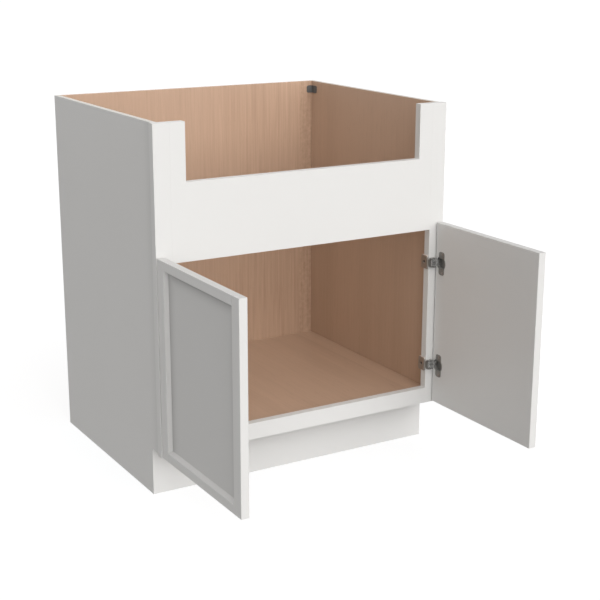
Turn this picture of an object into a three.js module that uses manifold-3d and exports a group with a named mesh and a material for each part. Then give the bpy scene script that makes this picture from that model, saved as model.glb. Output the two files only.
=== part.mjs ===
// Face-frame sink base cabinet with an apron front, two shaker doors and compact concealed hinges.
// Millimetres, +Z up, front towards -Y. The doors are drawn open at a right angle.
import * as THREE from 'three';
import { mergeVertices } from 'three/addons/utils/BufferGeometryUtils.js';
import Module from 'manifold-3d';

const wasm = await Module();
wasm.setup();

// ---- carcass: driving sizes ----
const cabinetHeight = 876.3;
const cabinetDepth = 609.6; // front of the face frame to the back face
const boxWidth = 762; // over the two side panels
const panelThickness = 12.7;
const floorPlyThickness = 12.7;
const backThickness = 12.7;
const dadoDepth = 6;
const floorDrop = 8.3; // cabinet floor below the top of the bottom rail
const woodFit = 0.1; // hairline left at every glued joint

// ---- face frame ----
const frameThickness = 19.05;
const frameOverhang = 6.5; // the frame stands proud of each side panel
const stileWidth = 39.7;
const bottomRailHeight = 40;
const apronHeight = 310;
const sinkNotchDepth = 132.3;
const notchUpright = 76.5; // outer edge of the frame to the notch
const notchCornerRadius = 2;

// ---- toe space ----
const toeHeight = 114.3;
const toeRecess = 65; // front of the frame to the toe board
const toeBoardThickness = 12.7;

// ---- doors ----
const sideOverlay = 32.9; // closed door over the opening's side
const topOverlay = 17;
const bottomOverlay = 36.6;
const centreGap = 2;
const doorThickness = 19;
const doorEase = 1; // rounding of the door's outer edges
const doorStileFlat = 31;
const doorRailFlat = 21;
const bevelWidth = 6.5;
const doorPanelThickness = 10; // flush with the back of the door
const grooveDepth = 6;
const tongueThickness = 4;
const tongueInset = 3; // back face of the door to the tongue
const doorFit = 0.1; // hairline between the pieces of a door

// ---- where the hinge carries the door ----
const closedGap = 2; // frame face to the back of the closed door
const openBackOffset = 20; // opening's side to the back face of the open door
const openEdgeGap = 3.6; // frame face to the hinge edge of the open door
const hingeEndDistance = 100; // door end to the middle of its hinge

// ---- hinge ----
const cupRadius = 17.5;
const cupDepth = 9.4;
const cupFit = 0.3; // cup to its bore
const cupWall = 0.7;
const cupEdgeDistance = 3.6; // door edge to the cup
const wellFit = 0.6; // closed arm and lip to the sides of the well in the cup
const flangeThickness = 1.2;
const flangeHeight = 58.6;
const flangeStart = 13.5; // door edge to the flange plate
const flangeWidth = 21;
const flangeCorner = 6;
const cupScrewOffset = 6; // cup centre to the line of its screws
const cupScrewSpacing = 48;
const plateSheet = 2; // lip and neck, bent round the corner of the stile
const plateThickness = 4.5;
const plateReach = 26; // frame face to the rear end of the plate
const plateHeight = 35;
const plateEase = 2.4; // slope round the face of the plate
const plateCorner = 5;
const plateWellRadius = 4.2; // round well that the screw's head lies in
const plateScrewReach = 13;
const plateScrewSeat = 2.6; // opening's side to the face of the screw's head
const plateLipHeight = 17;
const plateLipReach = 8;
const armSheet = 1.5;
const armStart = 0.8; // opening's side to the arm
const armReach = 17.6;
const armWebReach = 10;
const armDepth = 10.4;
const armNose = 0.5; // frame face to the end of the cheeks beyond the lip
const armHeight = 23.8;
const armCorner = 3;
const pinRadius = 1;
const pinClearance = 0.2;
const linkEyeRadius = 2;
const linkThickness = 2;
const outerLinkWidth = 7;
const innerLinkInside = 11.2;
const innerLinkOutside = 14.2;
const openPivotGap = 0.4; // between strap and pin end, where the linkage is left open
const outerPivot = new THREE.Vector2(15, 2.6); // from the opening's front corner: outward, forward
const innerPivot = new THREE.Vector2(3, 8.4);
const outerSwing = 7; // pole of the door's motion to the moving pivot of each link
const innerSwing = 8;
const outerKnee = new THREE.Vector2(16.4, 9.9); // bend of the outer link, clear of the door's edge
const lugThickness = 1.2;
const lugHalfWidth = 1.6;
const rimNotchDepth = 3.6;
const camScrewReach = 6;

// ---- fasteners ----
const screwHeadRadius = 3.3;
const screwHeadHeight = 1.1;
const screwHeadTaper = 0.9; // the countersunk share of the head's height
const screwShankRadius = 1.6;
const screwLength = 13;
const screwPoint = 2;
const screwFit = 0.3;
const camScrewPull = 0.5; // the cam screw ends this far short of the frame
const recessLength = 3.6;
const recessWidth = 0.8;
const recessDepth = 0.7;

// ---- corner brackets ----
const bracketSheet = 2;
const bracketHeight = 20;
const bracketTopDrop = 12.4;
const bracketSideLeg = 26;
const bracketBackLeg = 17;
const bracketCorner = 5;
const bracketHeadHeight = 1.2;
const bracketSideHead = 16; // back panel to the screw in the side panel
const bracketBackHead = 10.5; // side panel to the screw in the back panel

// ---- derived ----
const past = 1; // how far a cutting shape runs out beyond what it cuts
const halfBox = boxWidth / 2;
const halfFrame = halfBox + frameOverhang;
const halfOpening = halfFrame - stileWidth;
const innerWall = halfBox - panelThickness;
const railTop = toeHeight + bottomRailHeight;
const openingTop = cabinetHeight - apronHeight;
const floorTop = railTop - floorDrop;
const backFront = cabinetDepth - backThickness;
const toeBoardBack = toeRecess + toeBoardThickness;
const notchFloor = cabinetHeight - sinkNotchDepth;
const doorWidth = halfOpening + sideOverlay - centreGap / 2;
const doorBottom = railTop - bottomOverlay;
const doorTop = openingTop + topOverlay;
const cupCentre = cupEdgeDistance + cupRadius;
const cupInside = cupRadius - cupWall;
const wellHalf = armHeight / 2 + wellFit;
const wellEnd = sideOverlay + plateSheet + wellFit; // door edge to the far end of the well
const doorReach = openEdgeGap + doorWidth; // frame face to the free edge of the open door

// ---- materials ----
const whitePaint = { color: 0xeceae4, roughness: 0.42, metalness: 0 };
const mapleLaminate = { color: 0xb99a7d, roughness: 0.5, metalness: 0 };
const hingeSteel = { color: 0x6f6d69, roughness: 0.34, metalness: 0.9 };
const plateSteel = { color: 0x9a948c, roughness: 0.3, metalness: 0.9 };
const bracketSteel = { color: 0x2c2b2a, roughness: 0.5, metalness: 0.6 };
const screwSteel = { color: 0x8d8b88, roughness: 0.3, metalness: 0.95 };

// ---- geometry helpers ----
function toSolid(geometry) {
  const bare = geometry.clone();
  bare.deleteAttribute('normal');
  bare.deleteAttribute('uv');
  const merged = mergeVertices(bare, 1e-4);
  const triVerts = new Uint32Array(merged.index.array);
  const vertProperties = new Float32Array(merged.attributes.position.array);
  return new wasm.Manifold(new wasm.Mesh({ numProp: 3, vertProperties, triVerts }));
}

function toGeometry(solid) {
  const mesh = solid.getMesh();
  const geometry = new THREE.BufferGeometry();
  geometry.setAttribute('position', new THREE.BufferAttribute(mesh.vertProperties, 3));
  geometry.setIndex(new THREE.BufferAttribute(mesh.triVerts, 1));
  return geometry;
}

function joined(...geometries) {
  return toGeometry(geometries.map(toSolid).reduce((all, next) => all.add(next)));
}

function cut(geometry, ...tools) {
  return toGeometry(tools.map(toSolid).reduce((rest, tool) => rest.subtract(tool), toSolid(geometry)));
}

// what two solids have in common
function shared(geometry, other) {
  return toGeometry(toSolid(geometry).intersect(toSolid(other)));
}

function board(x0, x1, y0, y1, z0, z1) {
  const geometry = new THREE.BoxGeometry(x1 - x0, y1 - y0, z1 - z0);
  return geometry.translate((x0 + x1) / 2, (y0 + y1) / 2, (z0 + z1) / 2);
}

function extrude(shape, length, curveSegments = 6) {
  return new THREE.ExtrudeGeometry(shape, { depth: length, bevelEnabled: false, curveSegments });
}

// a shape drawn in (x, y), raised from z0 to z1
function alongZ(shape, z0, z1, curveSegments) {
  return extrude(shape, z1 - z0, curveSegments).translate(0, 0, z0);
}

// a shape drawn in (x, z), drawn out from y0 to y1
function alongY(shape, y0, y1, curveSegments) {
  return extrude(shape, y1 - y0, curveSegments).rotateX(Math.PI / 2).translate(0, y1, 0);
}

// turns a shape drawn in (x, y) and drawn out along z into one drawn in (y, z) and drawn out along x
const turnAlongX = new THREE.Matrix4().set(0, 0, 1, 0, 1, 0, 0, 0, 0, 1, 0, 0, 0, 0, 0, 1);

function alongX(shape, x0, x1, curveSegments) {
  return extrude(shape, x1 - x0, curveSegments).applyMatrix4(turnAlongX).translate(x0, 0, 0);
}

function polygon(points) {
  return new THREE.Shape(points.map(([a, b]) => new THREE.Vector2(a, b)));
}

function roundedRectangle(a0, a1, b0, b1, radius) {
  const shape = new THREE.Shape();
  shape.moveTo(a0 + radius, b0);
  shape.lineTo(a1 - radius, b0);
  shape.absarc(a1 - radius, b0 + radius, radius, -Math.PI / 2, 0);
  shape.lineTo(a1, b1 - radius);
  shape.absarc(a1 - radius, b1 - radius, radius, 0, Math.PI / 2);
  shape.lineTo(a0 + radius, b1);
  shape.absarc(a0 + radius, b1 - radius, radius, Math.PI / 2, Math.PI);
  shape.lineTo(a0, b0 + radius);
  shape.absarc(a0 + radius, b0 + radius, radius, Math.PI, Math.PI * 1.5);
  return shape;
}

function cylinderZ(x, y, z0, z1, radius, segments = 16) {
  const geometry = new THREE.CylinderGeometry(radius, radius, z1 - z0, segments);
  return geometry.rotateX(Math.PI / 2).translate(x, y, (z0 + z1) / 2);
}

function cylinderX(x0, x1, y, z, radius, segments = 16) {
  const geometry = new THREE.CylinderGeometry(radius, radius, x1 - x0, segments);
  return geometry.rotateZ(Math.PI / 2).translate((x0 + x1) / 2, y, z);
}

function cylinderY(x, y0, y1, z, radius, segments = 16) {
  return new THREE.CylinderGeometry(radius, radius, y1 - y0, segments).translate(x, (y0 + y1) / 2, z);
}

// the same piece for the other side of the cabinet
function mirrored(geometry) {
  const copy = geometry.clone().scale(-1, 1, 1);
  if (!copy.index) return mirrored(mergeVertices(geometry));
  const index = copy.index.array;
  for (let i = 0; i < index.length; i += 3) [index[i], index[i + 1]] = [index[i + 1], index[i]];
  return copy;
}

// ---- scene graph ----
// inside this group y = 0 is the front of the face frame
const cabinet = new THREE.Group();
cabinet.position.y = (doorReach - cabinetDepth) / 2;

function add(name, geometry, finish) {
  const mesh = new THREE.Mesh(geometry, new THREE.MeshStandardMaterial(finish));
  mesh.name = name;
  cabinet.add(mesh);
}

// a piece drawn for the right side, added on both sides
function addPair(name, geometry, finish) {
  add(`right_${name}`, geometry, finish);
  add(`left_${name}`, mirrored(geometry), finish);
}

// ---- carcass ----
function sidePanel() {
  const front = frameThickness + woodFit;
  const outline = polygon([
    [front, toeHeight], [toeBoardBack, toeHeight], [toeBoardBack, 0],
    [cabinetDepth, 0], [cabinetDepth, cabinetHeight], [front, cabinetHeight],
  ]);
  const panel = alongX(outline, innerWall, halfBox);
  const dado = board(
    innerWall - past, innerWall + dadoDepth + woodFit,
    front - past, backFront,
    floorTop - floorPlyThickness - woodFit, floorTop + woodFit,
  );
  return cut(panel, dado);
}

// let into the sides and the bottom rail, and notched round the two stiles
function floorPanel() {
  const half = innerWall + dadoDepth;
  const tongue = halfOpening - woodFit * 2;
  const back = backFront - woodFit;
  const front = frameThickness + woodFit;
  const outline = polygon([
    [-half, back], [-half, front], [-tongue, front], [-tongue, front - dadoDepth],
    [tongue, front - dadoDepth], [tongue, front], [half, front], [half, back],
  ]);
  return alongZ(outline, floorTop - floorPlyThickness, floorTop);
}

function backPanel() {
  const half = innerWall - woodFit;
  return board(-half, half, backFront, cabinetDepth, 0, cabinetHeight);
}

function toeBoard() {
  return board(-halfBox, halfBox, toeRecess, toeBoardBack - woodFit, 0, toeHeight - woodFit);
}

function cornerBracket() {
  const x = innerWall - woodFit;
  const y = backFront - woodFit;
  const top = cabinetHeight - bracketTopDrop;
  const bottom = top - bracketHeight;
  const sideLeg = alongX(
    roundedRectangle(y - bracketSideLeg, y + bracketCorner, bottom, top, bracketCorner),
    x - bracketSheet, x, 4,
  );
  const backLeg = alongY(
    roundedRectangle(x - bracketBackLeg, x + bracketCorner, bottom, top, bracketCorner),
    y - bracketSheet, y, 4,
  );
  const outside = board(
    x, x + bracketCorner + past, y - bracketSideLeg, y + bracketCorner, bottom - past, top + past,
  );
  const behind = board(
    x - bracketBackLeg, x + bracketCorner, y, y + bracketCorner + past, bottom - past, top + past,
  );
  const middle = (top + bottom) / 2;
  const reach = bracketSheet + bracketHeadHeight;
  const sideHead = cylinderX(x - reach, x, y - bracketSideHead, middle, screwHeadRadius, 12);
  const backHead = cylinderY(x - bracketBackHead, y - reach, y, middle, screwHeadRadius, 12);
  return cut(joined(sideLeg, backLeg, sideHead, backHead), outside, behind);
}

// ---- face frame ----
function frameStile() {
  const stile = board(halfOpening, halfFrame, 0, frameThickness, toeHeight, cabinetHeight);
  const holeEnd = hingeX(screwLength - plateScrewSeat + screwFit);
  const holes = Object.values(hingeHeights).map((z) =>
    cylinderX(hingeX(-past), holeEnd, hingeY(-plateScrewReach), z, screwShankRadius + screwFit, 12));
  return cut(stile, ...holes);
}

function bottomRail() {
  const half = halfOpening - woodFit;
  const grooveTop = floorTop + woodFit;
  const grooveBottom = floorTop - floorPlyThickness - woodFit;
  const grooveFront = frameThickness - dadoDepth;
  const outline = polygon([
    [0, toeHeight], [frameThickness, toeHeight], [frameThickness, grooveBottom], [grooveFront, grooveBottom],
    [grooveFront, grooveTop], [frameThickness, grooveTop], [frameThickness, railTop], [0, railTop],
  ]);
  return alongX(outline, -half, half);
}

// the tall board over the doors, cut out in a U for the front of the sink
function apron() {
  const half = halfOpening - woodFit;
  const notch = halfFrame - notchUpright;
  const r = notchCornerRadius;
  const shape = new THREE.Shape();
  shape.moveTo(-half, openingTop);
  shape.lineTo(half, openingTop);
  shape.lineTo(half, cabinetHeight);
  shape.lineTo(notch, cabinetHeight);
  shape.lineTo(notch, notchFloor + r);
  shape.absarc(notch - r, notchFloor + r, r, 0, -Math.PI / 2, true);
  shape.lineTo(-notch + r, notchFloor);
  shape.absarc(-notch + r, notchFloor + r, r, -Math.PI / 2, -Math.PI, true);
  shape.lineTo(-notch, cabinetHeight);
  shape.lineTo(-half, cabinetHeight);
  return alongY(shape, 0, frameThickness, 3);
}

// ---- doors ----
// s is measured from the hinge edge across the door, t from its back face to its front face
const doorX = (t) => halfOpening + openBackOffset + t;
const doorY = (s) => -openEdgeGap - s;
const hingeHeights = { upper: doorTop - hingeEndDistance, lower: doorBottom + hingeEndDistance };

// section of a frame member: flat face, bevel down to the panel, groove for the panel's tongue
function stickSection(flat, grow = 0) {
  const inner = flat + bevelWidth + grow;
  const grooveBase = flat + bevelWidth - grooveDepth + grow;
  return [
    [-grow, -grow], [-grow, doorThickness + grow], [flat + grow, doorThickness + grow],
    [inner, doorPanelThickness + grow], [inner, tongueInset + tongueThickness - grow + doorFit],
    [grooveBase, tongueInset + tongueThickness - grow + doorFit], [grooveBase, tongueInset + grow - doorFit],
    [inner, tongueInset + grow - doorFit], [inner, -grow],
  ];
}

// the whole door as one board with eased edges, which trims the outer edges of its pieces
function doorBlank() {
  const outline = polygon([
    [doorY(doorWidth - doorEase), doorBottom + doorEase], [doorY(doorEase), doorBottom + doorEase],
    [doorY(doorEase), doorTop - doorEase], [doorY(doorWidth - doorEase), doorTop - doorEase],
  ]);
  const depth = doorThickness - doorEase * 2;
  const eased = {
    depth, bevelEnabled: true, bevelThickness: doorEase, bevelSize: doorEase, bevelSegments: 3,
  };
  return new THREE.ExtrudeGeometry(outline, eased).applyMatrix4(turnAlongX).translate(doorX(doorEase), 0, 0);
}

function cupBores() {
  return Object.values(hingeHeights).map((z) =>
    cylinderX(doorX(-past), doorX(cupDepth + cupFit), doorY(cupCentre), z, cupRadius + cupFit, 36));
}

function cupScrewHoles() {
  const s = cupCentre + cupScrewOffset;
  return Object.values(hingeHeights).flatMap((z) => [-1, 1].map((way) => cylinderX(
    doorX(-past), doorX(screwLength), doorY(s), z + way * cupScrewSpacing / 2,
    screwShankRadius + screwFit, 12,
  )));
}

function doorStile(fromHinge) {
  const place = fromHinge ? (s) => doorY(s) : (s) => doorY(doorWidth - s);
  const section = stickSection(doorStileFlat).map(([s, t]) => [doorX(t), place(s)]);
  return shared(alongZ(polygon(section), doorBottom, doorTop), doorBlank());
}

function hingeStile() {
  return cut(doorStile(true), ...cupBores(), ...cupScrewHoles());
}

// a rail is coped over the bevels of both stiles and keeps a stub in their grooves
function doorRail(atTop) {
  const z = atTop ? (w) => doorTop - w : (w) => doorBottom + w;
  const section = stickSection(doorRailFlat).map(([w, t]) => [doorX(t), z(w)]);
  const stubEnd = doorStileFlat + bevelWidth - grooveDepth + doorFit * 2;
  const rail = alongY(polygon(section), doorY(doorWidth - stubEnd), doorY(stubEnd));
  const copes = [(s) => doorY(s), (s) => doorY(doorWidth - s)].map((place) => {
    const stile = stickSection(doorStileFlat, doorFit).map(([s, t]) => [doorX(t), place(s)]);
    return alongZ(polygon(stile), doorBottom - past, doorTop + past);
  });
  return shared(cut(rail, ...copes), doorBlank());
}

function doorPanel() {
  const sideInset = doorStileFlat + bevelWidth + doorFit;
  const endInset = doorRailFlat + bevelWidth + doorFit;
  const tongue = grooveDepth - doorFit * 3;
  const sheet = board(
    doorX(0), doorX(doorPanelThickness), doorY(doorWidth - sideInset), doorY(sideInset),
    doorBottom + endInset, doorTop - endInset,
  );
  const tongues = board(
    doorX(tongueInset), doorX(tongueInset + tongueThickness),
    doorY(doorWidth - sideInset + tongue), doorY(sideInset - tongue),
    doorBottom + endInset - tongue, doorTop - endInset + tongue,
  );
  return cut(joined(sheet, tongues), ...cupBores());
}

// ---- hinge linkage ----
// u is measured outward from the opening's side, v forward from the frame's face
const hingeX = (u) => halfOpening + u;
const hingeY = (v) => -v;

// Closing and opening by a right angle is one turn of the door about this pole. A link's moving pivot
// lies 45 degrees to either side of the line from the pole to the link's fixed pivot.
const poleU = (openBackOffset - closedGap + openEdgeGap + sideOverlay) / 2;
const pole = new THREE.Vector2(poleU, poleU - openBackOffset + closedGap);

function movingPivot(fixedPivot, swing) {
  const towardsFixed = fixedPivot.clone().sub(pole).setLength(swing);
  return towardsFixed.rotateAround(new THREE.Vector2(), -Math.PI / 4).add(pole);
}

const outerMoving = movingPivot(outerPivot, outerSwing);
const innerMoving = movingPivot(innerPivot, innerSwing);

function pin(pivot, z0, z1, radius = pinRadius) {
  return cylinderZ(hingeX(pivot.x), hingeY(pivot.y), z0, z1, radius, 14);
}

// flat bar with a round eye about each pivot and a rounded bend at each point between
function linkBar(points, z0, z1) {
  const bars = points.slice(1).map((to, i) => {
    const from = points[i];
    const length = from.distanceTo(to);
    const angle = Math.atan2(hingeY(to.y) - hingeY(from.y), hingeX(to.x) - hingeX(from.x));
    const bar = new THREE.BoxGeometry(length, linkThickness, z1 - z0);
    bar.translate(length / 2, 0, (z0 + z1) / 2);
    return bar.rotateZ(angle).translate(hingeX(from.x), hingeY(from.y), 0);
  });
  const bends = points.slice(1, -1).map((point) => pin(point, z0, z1, linkThickness / 2));
  const eyes = [points[0], points.at(-1)].map((pivot) => pin(pivot, z0, z1, linkEyeRadius));
  return joined(...bars, ...bends, ...eyes);
}

function outerLink(z) {
  const half = outerLinkWidth / 2;
  const bores = [outerPivot, outerMoving].map((pivot) =>
    pin(pivot, z - half - past, z + half + past, pinRadius + pinClearance));
  return cut(linkBar([outerPivot, outerKnee, outerMoving], z - half, z + half), ...bores);
}

// a fork round the outer link, joined by a barrel on its fixed pin
function innerLink(z) {
  const inside = innerLinkInside / 2;
  const outside = innerLinkOutside / 2;
  const fork = joined(
    linkBar([innerPivot, innerMoving], z + inside, z + outside),
    linkBar([innerPivot, innerMoving], z - outside, z - inside),
    pin(innerPivot, z - outside, z + outside, linkEyeRadius),
  );
  return cut(fork, pin(innerPivot, z - outside - past, z + outside + past, pinRadius + pinClearance));
}

// plate on the inner edge of the frame stile, with a lip round its front corner
function hingePlate(z) {
  const half = plateHeight / 2 - plateEase;
  const outline = roundedRectangle(
    hingeY(-plateEase), hingeY(plateEase - plateReach), z - half, z + half, plateCorner - plateEase,
  );
  const sloped = new THREE.ExtrudeGeometry(outline, {
    depth: (plateThickness - plateEase) * 2, bevelEnabled: true, curveSegments: 3,
    bevelThickness: plateEase, bevelSize: plateEase, bevelSegments: 2,
  }).applyMatrix4(turnAlongX).translate(hingeX(plateEase - plateThickness), 0, 0);
  const insideStile = board(
    hingeX(-woodFit), hingeX(plateThickness + past), hingeY(past), hingeY(-plateReach - past),
    z - plateHeight, z + plateHeight,
  );
  const lipHalf = plateLipHeight / 2;
  const neck = board(
    hingeX(-plateSheet), hingeX(-woodFit), hingeY(plateSheet), hingeY(-plateCorner), z - lipHalf, z + lipHalf,
  );
  const lip = board(
    hingeX(-plateSheet), hingeX(plateLipReach), hingeY(plateSheet), hingeY(woodFit), z - lipHalf, z + lipHalf,
  );
  const y = hingeY(-plateScrewReach);
  const headEnd = screwHeadHeight + screwFit - plateScrewSeat;
  return cut(
    joined(cut(sloped, insideStile), neck, lip),
    cylinderX(hingeX(-plateThickness - past), hingeX(headEnd), y, z, plateWellRadius, 20),
    cylinderX(hingeX(-plateThickness), hingeX(past), y, z, screwShankRadius + screwFit, 12),
    camScrewHole(z),
  );
}

function camScrewHole(z) {
  return cylinderY(
    hingeX(camScrewReach), hingeY(armDepth), hingeY(-past), z, screwShankRadius + screwFit, 12,
  );
}

// channel with two cheeks that hold the fixed pins
function hingeArm(z) {
  const half = armHeight / 2;
  const webBack = plateSheet + woodFit;
  const cheek = new THREE.Shape();
  cheek.moveTo(hingeX(armStart), hingeY(webBack));
  cheek.lineTo(hingeX(armWebReach), hingeY(webBack));
  cheek.lineTo(hingeX(armWebReach + webBack - armNose), hingeY(armNose));
  cheek.lineTo(hingeX(armReach), hingeY(armNose));
  cheek.lineTo(hingeX(armReach), hingeY(armDepth - armCorner));
  cheek.absarc(hingeX(armReach - armCorner), hingeY(armDepth - armCorner), armCorner, 0, -Math.PI / 2, true);
  cheek.lineTo(hingeX(armStart + armCorner), hingeY(armDepth));
  cheek.lineTo(hingeX(armStart), hingeY(armDepth - armCorner));
  const web = board(
    hingeX(armStart), hingeX(armWebReach), hingeY(webBack + armSheet), hingeY(webBack), z - half, z + half,
  );
  return cut(
    joined(
      web,
      alongZ(cheek, z + half - armSheet, z + half, 4),
      alongZ(cheek, z - half, z - half + armSheet, 4),
      pin(outerPivot, z - half + armSheet / 2, z + half - armSheet / 2),
      pin(innerPivot, z - half + armSheet / 2, z + half - armSheet / 2),
    ),
    camScrewHole(z),
  );
}

// cup with a well for the closed arm, and a flange that is screwed to the back of the door
function hingeCup(z) {
  const y = doorY(cupCentre);
  const flangeBack = -flangeThickness;
  const flangeHalf = flangeHeight / 2;
  const flangeEnd = flangeStart + flangeWidth;
  const flange = alongX(
    roundedRectangle(doorY(flangeEnd), doorY(flangeStart), z - flangeHalf, z + flangeHalf, flangeCorner),
    doorX(flangeBack), doorX(-woodFit), 5,
  );
  const disc = cylinderX(doorX(flangeBack), doorX(cupDepth), y, z, cupRadius, 36);
  const well = shared(
    cylinderX(doorX(flangeBack - past), doorX(cupDepth - cupWall), y, z, cupInside, 36),
    board(
      doorX(flangeBack - past), doorX(cupDepth), doorY(wellEnd), doorY(0), z - wellHalf, z + wellHalf,
    ),
  );
  const beforeFlange = board(
    doorX(flangeBack - past), doorX(0), doorY(flangeStart), doorY(0),
    z - cupRadius - past, z + cupRadius + past,
  );
  const screwLine = doorY(cupCentre + cupScrewOffset);
  const screwHoles = [-1, 1].map((way) => cylinderX(
    doorX(flangeBack - past), doorX(0), screwLine, z + way * cupScrewSpacing / 2,
    screwHeadRadius + screwFit, 16,
  ));
  const outerEdge = edgeDistance(outerMoving);
  const lugStart = outerLinkWidth / 2 + pinClearance * 2;
  const rimNotch = board(
    doorX(-past), doorX(rimNotchDepth), doorY(cupCentre / 2), doorY(0), z - lugStart, z + lugStart,
  );
  const shell = cut(joined(flange, disc), well, beforeFlange, rimNotch, ...screwHoles);
  const lugs = [-1, 1].map((way) => {
    const ends = [z + way * lugStart, z + way * (lugStart + lugThickness)].sort((a, b) => a - b);
    return board(
      hingeX(outerMoving.x - lugHalfWidth / 2), doorX(cupDepth - cupWall / 2),
      doorY(outerEdge + lugHalfWidth), doorY(outerEdge - lugHalfWidth), ...ends,
    );
  });
  const outerSpan = lugStart + lugThickness / 2;
  const innerStart = innerLinkOutside / 2 + openPivotGap;
  const innerSpan = wellHalf + cupWall / 2;
  return joined(
    shell,
    ...lugs,
    pin(outerMoving, z - outerSpan, z + outerSpan),
    pin(innerMoving, z + innerStart, z + innerSpan),
    pin(innerMoving, z - innerSpan, z - innerStart),
  );
}

// distance of a moving pivot from the door's hinge edge
function edgeDistance(pivot) {
  return pivot.y - openEdgeGap;
}

// countersunk screw along x, its head towards the middle of the cabinet
function screw(headX, y, z) {
  const body = turned([
    [0, 0], [screwHeadRadius, 0], [screwHeadRadius, screwHeadHeight - screwHeadTaper],
    [screwShankRadius, screwHeadHeight], [screwShankRadius, screwLength - screwPoint], [0, screwLength],
  ]);
  return cut(body, ...crossRecess()).rotateZ(-Math.PI / 2).translate(headX, y, z);
}

// a profile of (radius, distance from the head's face) turned about y
function turned(points) {
  return new THREE.LatheGeometry(points.map(([radius, along]) => new THREE.Vector2(radius, along)), 12);
}

function crossRecess() {
  return [
    new THREE.BoxGeometry(recessLength, recessDepth * 2, recessWidth),
    new THREE.BoxGeometry(recessWidth, recessDepth * 2, recessLength),
  ];
}

function camScrew(z) {
  const seat = plateSheet + woodFit + armSheet + woodFit;
  const end = seat + screwHeadHeight - camScrewPull;
  const body = turned([
    [0, 0], [screwHeadRadius, 0], [screwHeadRadius, screwHeadHeight], [screwShankRadius, screwHeadHeight],
    [screwShankRadius, end], [0, end],
  ]);
  return cut(body, ...crossRecess()).translate(hingeX(camScrewReach), hingeY(seat + screwHeadHeight), z);
}

// ---- assembly ----
addPair('side_panel', sidePanel(), mapleLaminate);
add('floor_panel', floorPanel(), mapleLaminate);
add('back_panel', backPanel(), mapleLaminate);
add('toe_kick_board', toeBoard(), whitePaint);
addPair('corner_bracket', cornerBracket(), bracketSteel);
addPair('frame_stile', frameStile(), whitePaint);
add('bottom_rail', bottomRail(), whitePaint);
add('apron_board', apron(), whitePaint);

addPair('door_hinge_stile', hingeStile(), whitePaint);
addPair('door_free_stile', doorStile(false), whitePaint);
addPair('door_top_rail', doorRail(true), whitePaint);
addPair('door_bottom_rail', doorRail(false), whitePaint);
addPair('door_panel', doorPanel(), whitePaint);

for (const [level, z] of Object.entries(hingeHeights)) {
  addPair(`${level}_hinge_plate`, hingePlate(z), plateSteel);
  addPair(`${level}_hinge_arm`, hingeArm(z), hingeSteel);
  addPair(`${level}_outer_link`, outerLink(z), hingeSteel);
  addPair(`${level}_inner_link`, innerLink(z), hingeSteel);
  addPair(`${level}_hinge_cup`, hingeCup(z), hingeSteel);
  addPair(`${level}_cam_screw`, camScrew(z), screwSteel);
  addPair(`${level}_plate_screw`, screw(hingeX(-plateScrewSeat), hingeY(-plateScrewReach), z), screwSteel);
  for (const [place, way] of [['top', 1], ['bottom', -1]]) {
    const screwZ = z + way * cupScrewSpacing / 2;
    const head = screw(doorX(-flangeThickness), doorY(cupCentre + cupScrewOffset), screwZ);
    addPair(`${level}_cup_${place}_screw`, head, screwSteel);
  }
}

export default cabinet;
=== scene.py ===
import math

import bpy
from mathutils import Matrix, Vector


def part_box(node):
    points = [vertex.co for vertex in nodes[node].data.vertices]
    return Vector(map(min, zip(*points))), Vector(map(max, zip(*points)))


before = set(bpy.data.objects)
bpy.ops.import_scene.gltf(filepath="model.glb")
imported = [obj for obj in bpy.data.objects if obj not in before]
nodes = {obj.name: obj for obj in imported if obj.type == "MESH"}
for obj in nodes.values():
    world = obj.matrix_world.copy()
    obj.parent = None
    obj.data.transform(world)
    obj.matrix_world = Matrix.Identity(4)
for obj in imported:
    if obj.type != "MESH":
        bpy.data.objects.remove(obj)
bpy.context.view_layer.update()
print("frame loaded:", len(nodes), "nodes")

# the camera was solved on the photograph's edges, in the part's own frame
cameraView = {
    "eye": (-1.498506, -2.605170, 1.242012),
    "right": (0.860708, -0.509094, 0.002100),
    "down": (-0.134398, -0.231197, -0.963579),
    "forward": (0.491038, 0.829078, -0.267414),
    "focalPixels": 1279.94,
    "framePixels": 600,
    "sensor": 36.0,
    "clip": (0.05, 200),
}


def makeCamera(view):
    data = bpy.data.cameras.new("photoCamera")
    data.sensor_width = view["sensor"]
    data.lens = view["focalPixels"] / view["framePixels"] * view["sensor"]
    data.clip_start, data.clip_end = view["clip"]
    camera = bpy.data.objects.new("photoCamera", data)
    bpy.context.scene.collection.objects.link(camera)
    right, down, forward = (Vector(view[k]).normalized() for k in ("right", "down", "forward"))
    turn = Matrix((right, -down, -forward)).transposed().to_4x4()
    camera.matrix_world = Matrix.Translation(Vector(view["eye"])) @ turn
    bpy.context.scene.camera = camera


makeCamera(cameraView)
bpy.context.scene.view_settings.view_transform = "Standard"
bpy.context.scene.view_settings.look = "None"
print("camera placed")


# each of these adds one node and gives back its output
def mathNode(tree, operation, a, b=None, c=None):
    node = tree.nodes.new("ShaderNodeMath")
    node.operation = operation
    for socket, value in zip(node.inputs, (a, b, c)):
        if value is None:
            continue
        if isinstance(value, (int, float)):
            socket.default_value = value
        else:
            tree.links.new(value, socket)
    return node.outputs[0]


def axisOf(tree, vector, axis):
    apart = tree.nodes.new("ShaderNodeSeparateXYZ")
    tree.links.new(vector, apart.inputs[0])
    return apart.outputs[axis]


def noiseNode(tree, vector, scale, detail, roughness):
    node = tree.nodes.new("ShaderNodeTexNoise")
    node.inputs["Scale"].default_value = scale
    node.inputs["Detail"].default_value = detail
    node.inputs["Roughness"].default_value = roughness
    tree.links.new(vector, node.inputs["Vector"])
    return node.outputs["Fac"]


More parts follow.
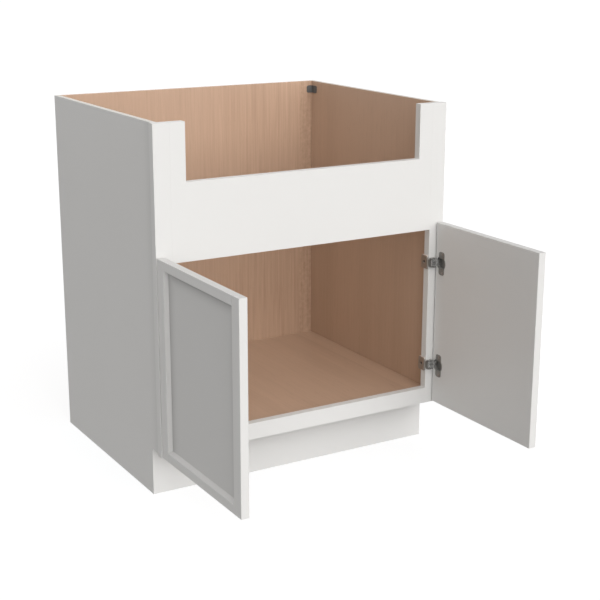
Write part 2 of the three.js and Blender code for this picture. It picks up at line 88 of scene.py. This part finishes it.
def rampNode(tree, value, low, high, result=(0.0, 1.0)):
    node = tree.nodes.new("ShaderNodeMapRange")
    node.inputs["From Min"].default_value = low
    node.inputs["From Max"].default_value = high
    node.inputs["To Min"].default_value, node.inputs["To Max"].default_value = result
    tree.links.new(value, node.inputs["Value"])
    return node.outputs["Result"]


def mixColor(tree, factor, a, b, blend="MIX"):
    node = tree.nodes.new("ShaderNodeMix")
    node.data_type = "RGBA"
    node.blend_type = blend
    tree.links.new(factor, node.inputs[0])
    for socket, value in ((node.inputs[6], a), (node.inputs[7], b)):
        if isinstance(value, tuple):
            socket.default_value = value
        else:
            tree.links.new(value, socket)
    return node.outputs[2]


# the camera sees one shader, and the light that goes round the studio sees the other
def cameraPick(tree, others, seen):
    path = tree.nodes.new("ShaderNodeLightPath")
    pick = tree.nodes.new("ShaderNodeMixShader")
    tree.links.new(path.outputs["Is Camera Ray"], pick.inputs[0])
    tree.links.new(others, pick.inputs[1])
    tree.links.new(seen, pick.inputs[2])
    return pick.outputs[0]


# soft studio light: wide panels before, above and behind the cabinet, each with its own spread
studioLight = {
    "front": {"towards": (0.0, -1.0, 0.0), "strength": 1.68, "narrow": 3.0},
    "frontMiddle": {"towards": (0.0, -1.0, 0.05), "strength": 1.02, "narrow": 8.0},
    "frontAbove": {"towards": (0.0, -0.7, 0.7), "strength": 1.56, "narrow": 3.0},
    "behind": {"towards": (0.0, 1.0, 0.0), "strength": 1.95, "narrow": 3.0},
    "leftAbove": {"towards": (-0.7, 0.0, 0.7), "strength": 0.15, "narrow": 3.0},
    "right": {"towards": (1.0, 0.0, 0.0), "strength": 0.25, "narrow": 3.0},
}


def panelGlow(tree, place, panel):
    facing = tree.nodes.new("ShaderNodeVectorMath")
    facing.operation = "DOT_PRODUCT"
    facing.inputs[1].default_value = Vector(panel["towards"]).normalized()
    tree.links.new(place, facing.inputs[0])
    glow = mathNode(tree, "MAXIMUM", facing.outputs["Value"], 0.0)
    glow = mathNode(tree, "POWER", glow, panel["narrow"])
    return mathNode(tree, "MULTIPLY", glow, panel["strength"])


def makeDome(light):
    world = bpy.data.worlds.new("studioDome")
    bpy.context.scene.world = world
    world.use_nodes = True
    tree = world.node_tree
    tree.nodes.clear()
    place = tree.nodes.new("ShaderNodeTexCoord").outputs["Generated"]
    total = 0.0
    for panel in light.values():
        total = mathNode(tree, "ADD", panelGlow(tree, place, panel), total)
    sky = tree.nodes.new("ShaderNodeBackground")
    sky.inputs["Color"].default_value = (1, 1, 1, 1)
    tree.links.new(total, sky.inputs["Strength"])
    # the camera itself sees plain white beyond the floor
    white = tree.nodes.new("ShaderNodeBackground")
    white.inputs["Color"].default_value = (1, 1, 1, 1)
    out = tree.nodes.new("ShaderNodeOutputWorld")
    tree.links.new(cameraPick(tree, sky.outputs[0], white.outputs[0]), out.inputs["Surface"])


makeDome(studioLight)

floorLook = {
    "half": 60.0,
    "drop": 0.0004,
    "bounce": 0.32,
    "seenShade": (0.30, 0.30, 0.30, 1),
    "seenGlow": 0.80,
}


def makeFloor(look):
    h = look["half"]
    mesh = bpy.data.meshes.new("studioFloor")
    corners = [(-h, -h, 0), (h, -h, 0), (h, h, 0), (-h, h, 0)]
    mesh.from_pydata(corners, [], [(0, 1, 2, 3)])
    floor = bpy.data.objects.new("studioFloor", mesh)
    floor.location.z = -look["drop"]
    bpy.context.scene.collection.objects.link(floor)
    material = bpy.data.materials.new("paleFloor")
    material.use_nodes = True
    tree = material.node_tree
    tree.nodes.clear()
    # what it sends back up is even, as on a lit studio sweep
    bounce = tree.nodes.new("ShaderNodeEmission")
    bounce.inputs["Strength"].default_value = look["bounce"]
    shade = tree.nodes.new("ShaderNodeBsdfDiffuse")
    shade.inputs["Color"].default_value = look["seenShade"]
    glow = tree.nodes.new("ShaderNodeEmission")
    glow.inputs["Strength"].default_value = look["seenGlow"]
    seen = tree.nodes.new("ShaderNodeAddShader")
    tree.links.new(shade.outputs[0], seen.inputs[0])
    tree.links.new(glow.outputs[0], seen.inputs[1])
    out = tree.nodes.new("ShaderNodeOutputMaterial")
    tree.links.new(cameraPick(tree, bounce.outputs[0], seen.outputs[0]), out.inputs["Surface"])
    mesh.materials.append(material)


makeFloor(floorLook)
print("light and floor ready")


def newGroup(name, inputs, outputs):
    group = bpy.data.node_groups.new(name, "ShaderNodeTree")
    for label, kind, value in inputs:
        socket = group.interface.new_socket(label, in_out="INPUT", socket_type=kind)
        if value is not None:
            socket.default_value = value
    for label, kind in outputs:
        group.interface.new_socket(label, in_out="OUTPUT", socket_type=kind)
    start = group.nodes.new("NodeGroupInput")
    end = group.nodes.new("NodeGroupOutput")
    return group, start, end


# veneer printed on the boards: soft plain-sawn bands, streaks, long fibres and short pores
veneerGrain = {
    "waves": {"Band": (14.0, 3.0), "Streak": (95.0, 2.0), "Fibre": (190.0, 4.0)},  # scale, detail
    "roughness": 0.6,
    "middle": 0.5,
    "poreScale": 620.0,
    "poreDetail": 2.0,
    "poreRamp": (0.62, 0.74),
}
# how fast the veneer changes along each axis: hardly at all along its fibres
fibresUp = (1.0, 1.0, 0.03)
fibresDeep = (1.0, 0.03, 1.0)


def makeGrainGroup(look):
    inputs = [
        ("Vector", "NodeSocketVector", None),
        ("Across", "NodeSocketVector", fibresUp),
        ("Band Strength", "NodeSocketFloat", 0.5),
        ("Streak Strength", "NodeSocketFloat", 0.5),
        ("Fibre Strength", "NodeSocketFloat", 0.5),
    ]
    outputs = [
        ("Shade", "NodeSocketFloat"),
        ("Fibres", "NodeSocketFloat"),
        ("Pores", "NodeSocketFloat"),
    ]
    group, start, end = newGroup("veneerGrain", inputs, outputs)
    stretch = group.nodes.new("ShaderNodeVectorMath")
    stretch.operation = "MULTIPLY"
    group.links.new(start.outputs["Vector"], stretch.inputs[0])
    group.links.new(start.outputs["Across"], stretch.inputs[1])
    base = stretch.outputs[0]
    waves = {}
    total = 0.0
    for label, (scale, detail) in look["waves"].items():
        noise = noiseNode(group, base, scale, detail, look["roughness"])
        waves[label] = mathNode(group, "SUBTRACT", noise, look["middle"])
        part = mathNode(group, "MULTIPLY", waves[label], start.outputs[label + " Strength"])
        total = mathNode(group, "ADD", part, total)
    pores = noiseNode(group, base, look["poreScale"], look["poreDetail"], look["roughness"])
    group.links.new(total, end.inputs["Shade"])
    group.links.new(waves["Fibre"], end.inputs["Fibres"])
    group.links.new(rampNode(group, pores, *look["poreRamp"]), end.inputs["Pores"])
    return group


# sprayed finish: a faint orange-peel height and a slow change of sheen
sprayedFinish = {
    "peelDetail": 2.0,
    "cloudScale": 5.0,
    "cloudDetail": 3.0,
    "cloudRoughness": 0.5,
}


def makeSprayGroup(look):
    inputs = [("Vector", "NodeSocketVector", None), ("Peel Scale", "NodeSocketFloat", 420.0)]
    outputs = [("Height", "NodeSocketFloat"), ("Cloud", "NodeSocketFloat")]
    group, start, end = newGroup("sprayedFinish", inputs, outputs)
    place = start.outputs["Vector"]
    peel = group.nodes.new("ShaderNodeTexNoise")
    peel.inputs["Detail"].default_value = look["peelDetail"]
    group.links.new(place, peel.inputs["Vector"])
    group.links.new(start.outputs["Peel Scale"], peel.inputs["Scale"])
    group.links.new(peel.outputs["Fac"], end.inputs["Height"])
    cloud = noiseNode(group, place, look["cloudScale"], look["cloudDetail"], look["cloudRoughness"])
    group.links.new(cloud, end.inputs["Cloud"])
    return group


grainGroup = makeGrainGroup(veneerGrain)
sprayGroup = makeSprayGroup(sprayedFinish)


def useGroup(tree, group, vector, **values):
    node = tree.nodes.new("ShaderNodeGroup")
    node.node_tree = group
    tree.links.new(vector, node.inputs["Vector"])
    for label, value in values.items():
        node.inputs[label.replace("_", " ")].default_value = value
    return node.outputs


def newMaterial(name):
    material = bpy.data.materials.new(name)
    material.use_nodes = True
    tree = material.node_tree
    shader = tree.nodes["Principled BSDF"]
    place = tree.nodes.new("ShaderNodeTexCoord").outputs["Object"]
    return material, tree, shader, place


# light that bounces off a surface onto others carries less of its colour
def softBounce(tree, color, share):
    path = tree.nodes.new("ShaderNodeLightPath")
    return mixColor(tree, path.outputs["Is Diffuse Ray"], color, share, "MULTIPLY")


def bumpFrom(tree, shader, height, strength, distance):
    node = tree.nodes.new("ShaderNodeBump")
    node.inputs["Strength"].default_value = strength
    node.inputs["Distance"].default_value = distance
    tree.links.new(height, node.inputs["Height"])
    tree.links.new(node.outputs["Normal"], shader.inputs["Normal"])


# painted shade: a door's bevels and its top edge are painted a little greyer than its flats
bevelShade = {
    "depth": 0.24,
    "leaning": (0.25, 0.35),  # its normal along X, from an edge face to a bevel
    "facing": (0.97, 0.90),  # and from a flat front or back to a bevel
    "topDepth": 0.14,
    "upward": (0.9, 1.0),
}


def bevelShadeMask(tree, look):
    normal = tree.nodes.new("ShaderNodeTexCoord").outputs["Normal"]
    lean = mathNode(tree, "ABSOLUTE", axisOf(tree, normal, "X"))
    leaning = rampNode(tree, lean, *look["leaning"])
    bevel = mathNode(tree, "MULTIPLY", leaning, rampNode(tree, lean, *look["facing"]))
    up = rampNode(tree, axisOf(tree, normal, "Z"), *look["upward"])
    shade = mathNode(tree, "MULTIPLY", bevel, look["depth"])
    return mathNode(tree, "MAXIMUM", shade, mathNode(tree, "MULTIPLY", up, look["topDepth"]))


# painted shade: a door panel's face is darker where it meets the frame, where shade falls in the
# recess
recessShade = {
    "whole": 0.15,
    "edgeShare": 0.6,  # how much of it stays under the shade at the edges
    "hingeSide": {"depth": 0.45, "reach": 0.018},
    "freeSide": {"depth": 0.42, "reach": 0.012},
    "top": {"depth": 0.36, "reach": 0.014},
}


def recessShadeMask(tree, place, door, look):
    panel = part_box(door + "_door_panel")
    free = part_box(door + "_door_free_stile")
    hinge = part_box(door + "_door_hinge_stile")
    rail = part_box(door + "_door_top_rail")
    y, z = axisOf(tree, place, "Y"), axisOf(tree, place, "Z")
    gaps = {
        "freeSide": mathNode(tree, "SUBTRACT", y, free[1][1]),
        "hingeSide": mathNode(tree, "SUBTRACT", hinge[0][1], y),
        "top": mathNode(tree, "SUBTRACT", rail[0][2], z),
    }
    near = look["whole"]
    for side, gap in gaps.items():
        gap = mathNode(tree, "MAXIMUM", gap, 0.0)
        fall = mathNode(tree, "MULTIPLY", gap, -1.0 / look[side]["reach"])
        shade = mathNode(tree, "POWER", math.e, fall)
        shade = mathNode(tree, "MULTIPLY", shade, look[side]["depth"])
        shade = mathNode(tree, "ADD", shade, look["whole"] * look["edgeShare"])
        near = mathNode(tree, "MAXIMUM", shade, near)
    middle = (panel[0][0] + panel[1][0]) / 2
    frontSide = "LESS_THAN" if door == "left" else "GREATER_THAN"
    isFront = mathNode(tree, frontSide, axisOf(tree, place, "X"), middle)
    return mathNode(tree, "MULTIPLY", near, isFront)


whitePaint = {
    "color": (0.815, 0.803, 0.783, 1),
    "deep": (0.795, 0.782, 0.760, 1),
    # the dark colour that the painted shade mixes towards
    "shade": (0.30, 0.295, 0.288, 1),
    "roughness": (0.36, 0.46),
    "peelScale": 420.0,
    "peelStrength": 0.05,
    "peelDepth": 0.0003,
    "bounceShare": (0.75, 0.75, 0.75, 1),
}


def sprayedWhite(tree, place, look):
    spray = useGroup(tree, sprayGroup, place, Peel_Scale=look["peelScale"])
    return mixColor(tree, spray["Cloud"], look["deep"], look["color"]), spray


def makeWhitePaint(name, look, panelOf=None, bevels=False):
    material, tree, shader, place = newMaterial(name)
    white, spray = sprayedWhite(tree, place, look)
    if panelOf:
        # painted shade in the panel's recess
        recess = recessShadeMask(tree, place, panelOf, recessShade)
        white = mixColor(tree, recess, white, look["shade"])
    # painted shade on the door's bevels and top edge
    if bevels:
        white = mixColor(tree, bevelShadeMask(tree, bevelShade), white, look["shade"])
    bounced = softBounce(tree, white, look["bounceShare"])
    tree.links.new(bounced, shader.inputs["Base Color"])
    sheen = rampNode(tree, spray["Cloud"], 0.0, 1.0, look["roughness"])
    tree.links.new(sheen, shader.inputs["Roughness"])
    bumpFrom(tree, shader, spray["Height"], look["peelStrength"], look["peelDepth"])
    return material


mapleLaminate = {
    "light": (0.640, 0.435, 0.312, 1),
    "dark": (0.455, 0.290, 0.195, 1),
    "pore": (0.340, 0.210, 0.135, 1),
    "poreShare": 0.35,
    "roughness": 0.32,
    "fibreStrength": 0.08,
    "fibreDepth": 0.0004,
    "evenShade": 0.32,
    "bands": 0.7,
    "streaks": 0.25,
    "fibres": 0.25,
    "bounceShare": (0.84, 0.95, 1.00, 1),
}


def mapleColor(tree, place, look, across, ownShade):
    grain = useGroup(tree, grainGroup, place, Across=across, Band_Strength=look["bands"],
                     Streak_Strength=look["streaks"], Fibre_Strength=look["fibres"])
    shade = ownShade(tree, place, grain["Shade"])
    shade = mathNode(tree, "ADD", shade, look["evenShade"])
    base = mixColor(tree, mathNode(tree, "MAXIMUM", shade, 0.0), look["light"], look["dark"])
    pores = mathNode(tree, "MULTIPLY", grain["Pores"], look["poreShare"])
    return mixColor(tree, pores, base, look["pore"]), grain


def makeMaple(name, look, across, ownShade):
    material, tree, shader, place = newMaterial(name)
    color, grain = mapleColor(tree, place, look, across, ownShade)
    bounced = softBounce(tree, color, look["bounceShare"])
    tree.links.new(bounced, shader.inputs["Base Color"])
    shader.inputs["Roughness"].default_value = look["roughness"]
    bumpFrom(tree, shader, grain["Fibres"], look["fibreStrength"], look["fibreDepth"])
    return material


# painted light and shade: a tall panel is lighter towards its top and darker towards its bottom
def heightShade(tree, place, shade, look):
    rise = rampNode(tree, axisOf(tree, place, "Z"), look["bottom"], look["top"])
    growth = look["topShade"] - look["bottomShade"]
    change = mathNode(tree, "MULTIPLY_ADD", rise, growth, look["bottomShade"])
    return mathNode(tree, "ADD", shade, change)


# the back panel's veneer is streakier towards its right end, and its last strip is mottled; painted
# shade darkens it towards its bottom
backVeneer = {
    "streaks": 0.85,
    "fibres": 0.75,
    "plainEnd": -0.25,
    "streakyEnd": 0.25,
    "plainShare": 0.3,
    "stripStart": 0.326,
    "stripFade": 0.004,
    "mottle": 1.3,
    "mottleLevel": 0.45,
    "mottleScale": 85.0,
    "mottleDetail": 3.0,
    "mottleRoughness": 0.6,
    "height": {"bottom": 0.25, "top": 0.55, "bottomShade": 0.22, "topShade": 0.03},
}


def backShade(tree, place, shade):
    look = backVeneer
    x = axisOf(tree, place, "X")
    fade = rampNode(tree, x, look["plainEnd"], look["streakyEnd"])
    fade = mathNode(tree, "MULTIPLY_ADD", fade, 1.0 - look["plainShare"], look["plainShare"])
    low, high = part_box("back_panel")
    isInside = mathNode(tree, "LESS_THAN", axisOf(tree, place, "Y"), (low[1] + high[1]) / 2)
    inStrip = rampNode(tree, x, look["stripStart"], look["stripStart"] + look["stripFade"])
    inStrip = mathNode(tree, "MULTIPLY", inStrip, isInside)
    spots = noiseNode(tree, place, look["mottleScale"], look["mottleDetail"],
                      look["mottleRoughness"])
    spots = mathNode(tree, "SUBTRACT", spots, look["mottleLevel"])
    mottle = mathNode(tree, "MULTIPLY", mathNode(tree, "MULTIPLY", spots, look["mottle"]), inStrip)
    shade = mathNode(tree, "ADD", mathNode(tree, "MULTIPLY", shade, fade), mottle)
    # painted shade towards the bottom
    return heightShade(tree, place, shade, look["height"])


# painted light and shade: the floor panel has a paler strip along the right wall, ended by a soft
# painted shadow line
floorStrip = {
    "line": 0.318,
    "lineHalf": 0.009,
    "lineShade": 0.16,
    "stripShade": -0.14,
    "fade": 0.004,
}


def floorShade(tree, place, shade):
    look = floorStrip
    x = axisOf(tree, place, "X")
    away = mathNode(tree, "ABSOLUTE", mathNode(tree, "SUBTRACT", x, look["line"]))
    line = rampNode(tree, away, look["lineHalf"], 0.0)
    line = mathNode(tree, "MULTIPLY", line, look["lineShade"])
    strip = rampNode(tree, x, look["line"], look["line"] + look["fade"])
    strip = mathNode(tree, "MULTIPLY", strip, look["stripShade"])
    return mathNode(tree, "ADD", shade, mathNode(tree, "ADD", line, strip))


# a side panel is laminate inside and white paint outside, with a pale banded edge;
# the paint has painted shade at its front end, and the laminate painted light and shade by height
sideFaces = {
    "inside": 0.3686,
    "outside": 0.3806,
    "edge": (0.70, 0.66, 0.60, 1),
    "roughness": 0.42,
    "frontFade": 0.045,
    "frontDepth": 0.17,
    "height": {"bottom": 0.25, "top": 0.70, "bottomShade": 0.14, "topShade": -0.26},
}


# painted light and shade on the inside laminate: lighter towards the top
def sideShade(tree, place, shade):
    return heightShade(tree, place, shade, sideFaces["height"])


def makeSideMaterial(look, laminate, paint):
    material, tree, shader, place = newMaterial("sidePanelFaces")
    maple = mapleColor(tree, place, laminate, fibresUp, sideShade)[0]
    away = mathNode(tree, "ABSOLUTE", axisOf(tree, place, "X"))
    isCut = mathNode(tree, "GREATER_THAN", away, look["inside"])
    isOutside = mathNode(tree, "GREATER_THAN", away, look["outside"])
    banded = mixColor(tree, isCut, maple, look["edge"])
    white, spray = sprayedWhite(tree, place, paint)
    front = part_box("right_side_panel")[0][1]
    # painted shade along the paint's front end
    paintedFrontShade = rampNode(tree, axisOf(tree, place, "Y"), front + look["frontFade"], front)
    paintedFrontShade = mathNode(tree, "MULTIPLY", paintedFrontShade, look["frontDepth"])
    white = mixColor(tree, paintedFrontShade, white, paint["shade"])
    color = mixColor(tree, isOutside, banded, white)
    bounced = softBounce(tree, color, laminate["bounceShare"])
    tree.links.new(bounced, shader.inputs["Base Color"])
    shader.inputs["Roughness"].default_value = look["roughness"]
    bumpFrom(tree, shader, spray["Height"], paint["peelStrength"], paint["peelDepth"])
    return material


# plated steel, with a painted highlight on faces that look up
platedFinish = {
    "peelScale": 2600.0,
    "peelDepth": 0.0001,
    "deepShare": 0.8,
    "upward": (0.35, 0.85),
}
hingeMetal = {
    "color": (0.31, 0.305, 0.29, 1),
    "metallic": 0.4,
    "roughness": (0.28, 0.42),
    "bump": 0.06,
    "topHighlight": 0.35,
    "highlightColor": (0.72, 0.70, 0.67, 1),
}
linkMetal = {
    "color": (0.50, 0.495, 0.48, 1),
    "metallic": 0.5,
    "roughness": (0.2, 0.34),
    "bump": 0.05,
    "topHighlight": 0.6,
    "highlightColor": (0.85, 0.84, 0.82, 1),
}
plateMetal = {
    "color": (0.42, 0.385, 0.35, 1),
    "metallic": 0.7,
    "roughness": (0.26, 0.42),
    "bump": 0.05,
    "topHighlight": 0.9,
    "highlightColor": (0.95, 0.86, 0.80, 1),
}
screwMetal = {
    "color": (0.50, 0.49, 0.48, 1),
    "metallic": 0.9,
    "roughness": (0.2, 0.35),
    "bump": 0.05,
    "topHighlight": 0.5,
    "highlightColor": (0.80, 0.78, 0.76, 1),
}
# the screws in the plates sit deep, and their colour is darkened as painted shade
plateScrewMetal = {
    "color": (0.13, 0.115, 0.105, 1),
    "metallic": 0.6,
    "roughness": (0.3, 0.45),
    "bump": 0.05,
    "topHighlight": 0.3,
    "highlightColor": (0.40, 0.38, 0.36, 1),
}
# the corner brackets are painted grey, and go the same way
bracketPaint = {
    "color": (0.16, 0.157, 0.153, 1),
    "metallic": 0.1,
    "roughness": (0.42, 0.55),
    "bump": 0.1,
    "topHighlight": 0.2,
    "highlightColor": (0.30, 0.295, 0.29, 1),
}


def makeMetal(name, look, finish):
    material, tree, shader, place = newMaterial(name)
    spray = useGroup(tree, sprayGroup, place, Peel_Scale=finish["peelScale"])
    deep = tuple(c * finish["deepShare"] for c in look["color"][:3]) + (1,)
    plated = mixColor(tree, spray["Cloud"], deep, look["color"])
    normal = tree.nodes.new("ShaderNodeTexCoord").outputs["Normal"]
    # painted highlight: faces that look up are painted brighter
    up = rampNode(tree, axisOf(tree, normal, "Z"), *finish["upward"])
    paintedHighlight = mathNode(tree, "MULTIPLY", up, look["topHighlight"])
    color = mixColor(tree, paintedHighlight, plated, look["highlightColor"])
    tree.links.new(color, shader.inputs["Base Color"])
    shader.inputs["Metallic"].default_value = look["metallic"]
    sheen = rampNode(tree, spray["Height"], 0.0, 1.0, look["roughness"])
    tree.links.new(sheen, shader.inputs["Roughness"])
    bumpFrom(tree, shader, spray["Height"], look["bump"], finish["peelDepth"])
    return material


paint = makeWhitePaint("whiteSatinPaint", whitePaint)
doorPaint = makeWhitePaint("doorFramePaint", whitePaint, bevels=True)
leftPanelPaint = makeWhitePaint("leftPanelPaint", whitePaint, panelOf="left")
rightPanelPaint = makeWhitePaint("rightPanelPaint", whitePaint, panelOf="right")
backMaple = makeMaple("mapleBack", {**mapleLaminate, **backVeneer}, fibresUp, backShade)
floorMaple = makeMaple("mapleFloor", mapleLaminate, fibresDeep, floorShade)
sideFinish = makeSideMaterial(sideFaces, mapleLaminate, whitePaint)
steel = makeMetal("darkNickel", hingeMetal, platedFinish)
linkSteel = makeMetal("polishedNickel", linkMetal, platedFinish)
plateSteel = makeMetal("nickelPlate", plateMetal, platedFinish)
screwSteel = makeMetal("zincScrew", screwMetal, platedFinish)
darkScrewSteel = makeMetal("darkScrew", plateScrewMetal, platedFinish)
bracketFinish = makeMetal("greyBracketPaint", bracketPaint, platedFinish)
print("materials made")

# the first of these that a node's name holds decides its finish, and the rest is painted white
finishes = {
    "left_door_panel": leftPanelPaint,
    "right_door_panel": rightPanelPaint,
    "_door_": doorPaint,
    "side_panel": sideFinish,
    "floor_panel": floorMaple,
    "back_panel": backMaple,
    "bracket": bracketFinish,
    "plate_screw": darkScrewSteel,
    "screw": screwSteel,
    "hinge_plate": plateSteel,
    "link": linkSteel,
    "hinge_arm": steel,
    "hinge_cup": steel,
}

# these boards have slightly eased edges
# the front frame has none, because its seams are painted over
boardEdges = {
    "boards": ("back_panel", "left_side_panel", "right_side_panel", "toe_kick_board"),
    "radius": 0.0007,
    "segments": 2,
    "weld": 0.00001,
    "angle": 35,
}


def finishFor(name):
    for words, finish in finishes.items():
        if words in name:
            return finish
    return paint


def easeEdges(node, edges):
    # the loaded triangles don't share their corners, so they are joined first
    weld = node.modifiers.new("joinedCorners", "WELD")
    weld.merge_threshold = edges["weld"]
    bevel = node.modifiers.new("softEdges", "BEVEL")
    bevel.width = edges["radius"]
    bevel.segments = edges["segments"]
    bevel.limit_method = "ANGLE"
    bevel.angle_limit = math.radians(edges["angle"])


for name, node in nodes.items():
    node.data.materials.clear()
    node.data.materials.append(finishFor(name))
    if name in boardEdges["boards"]:
        easeEdges(node, boardEdges)
print("nodes dressed")
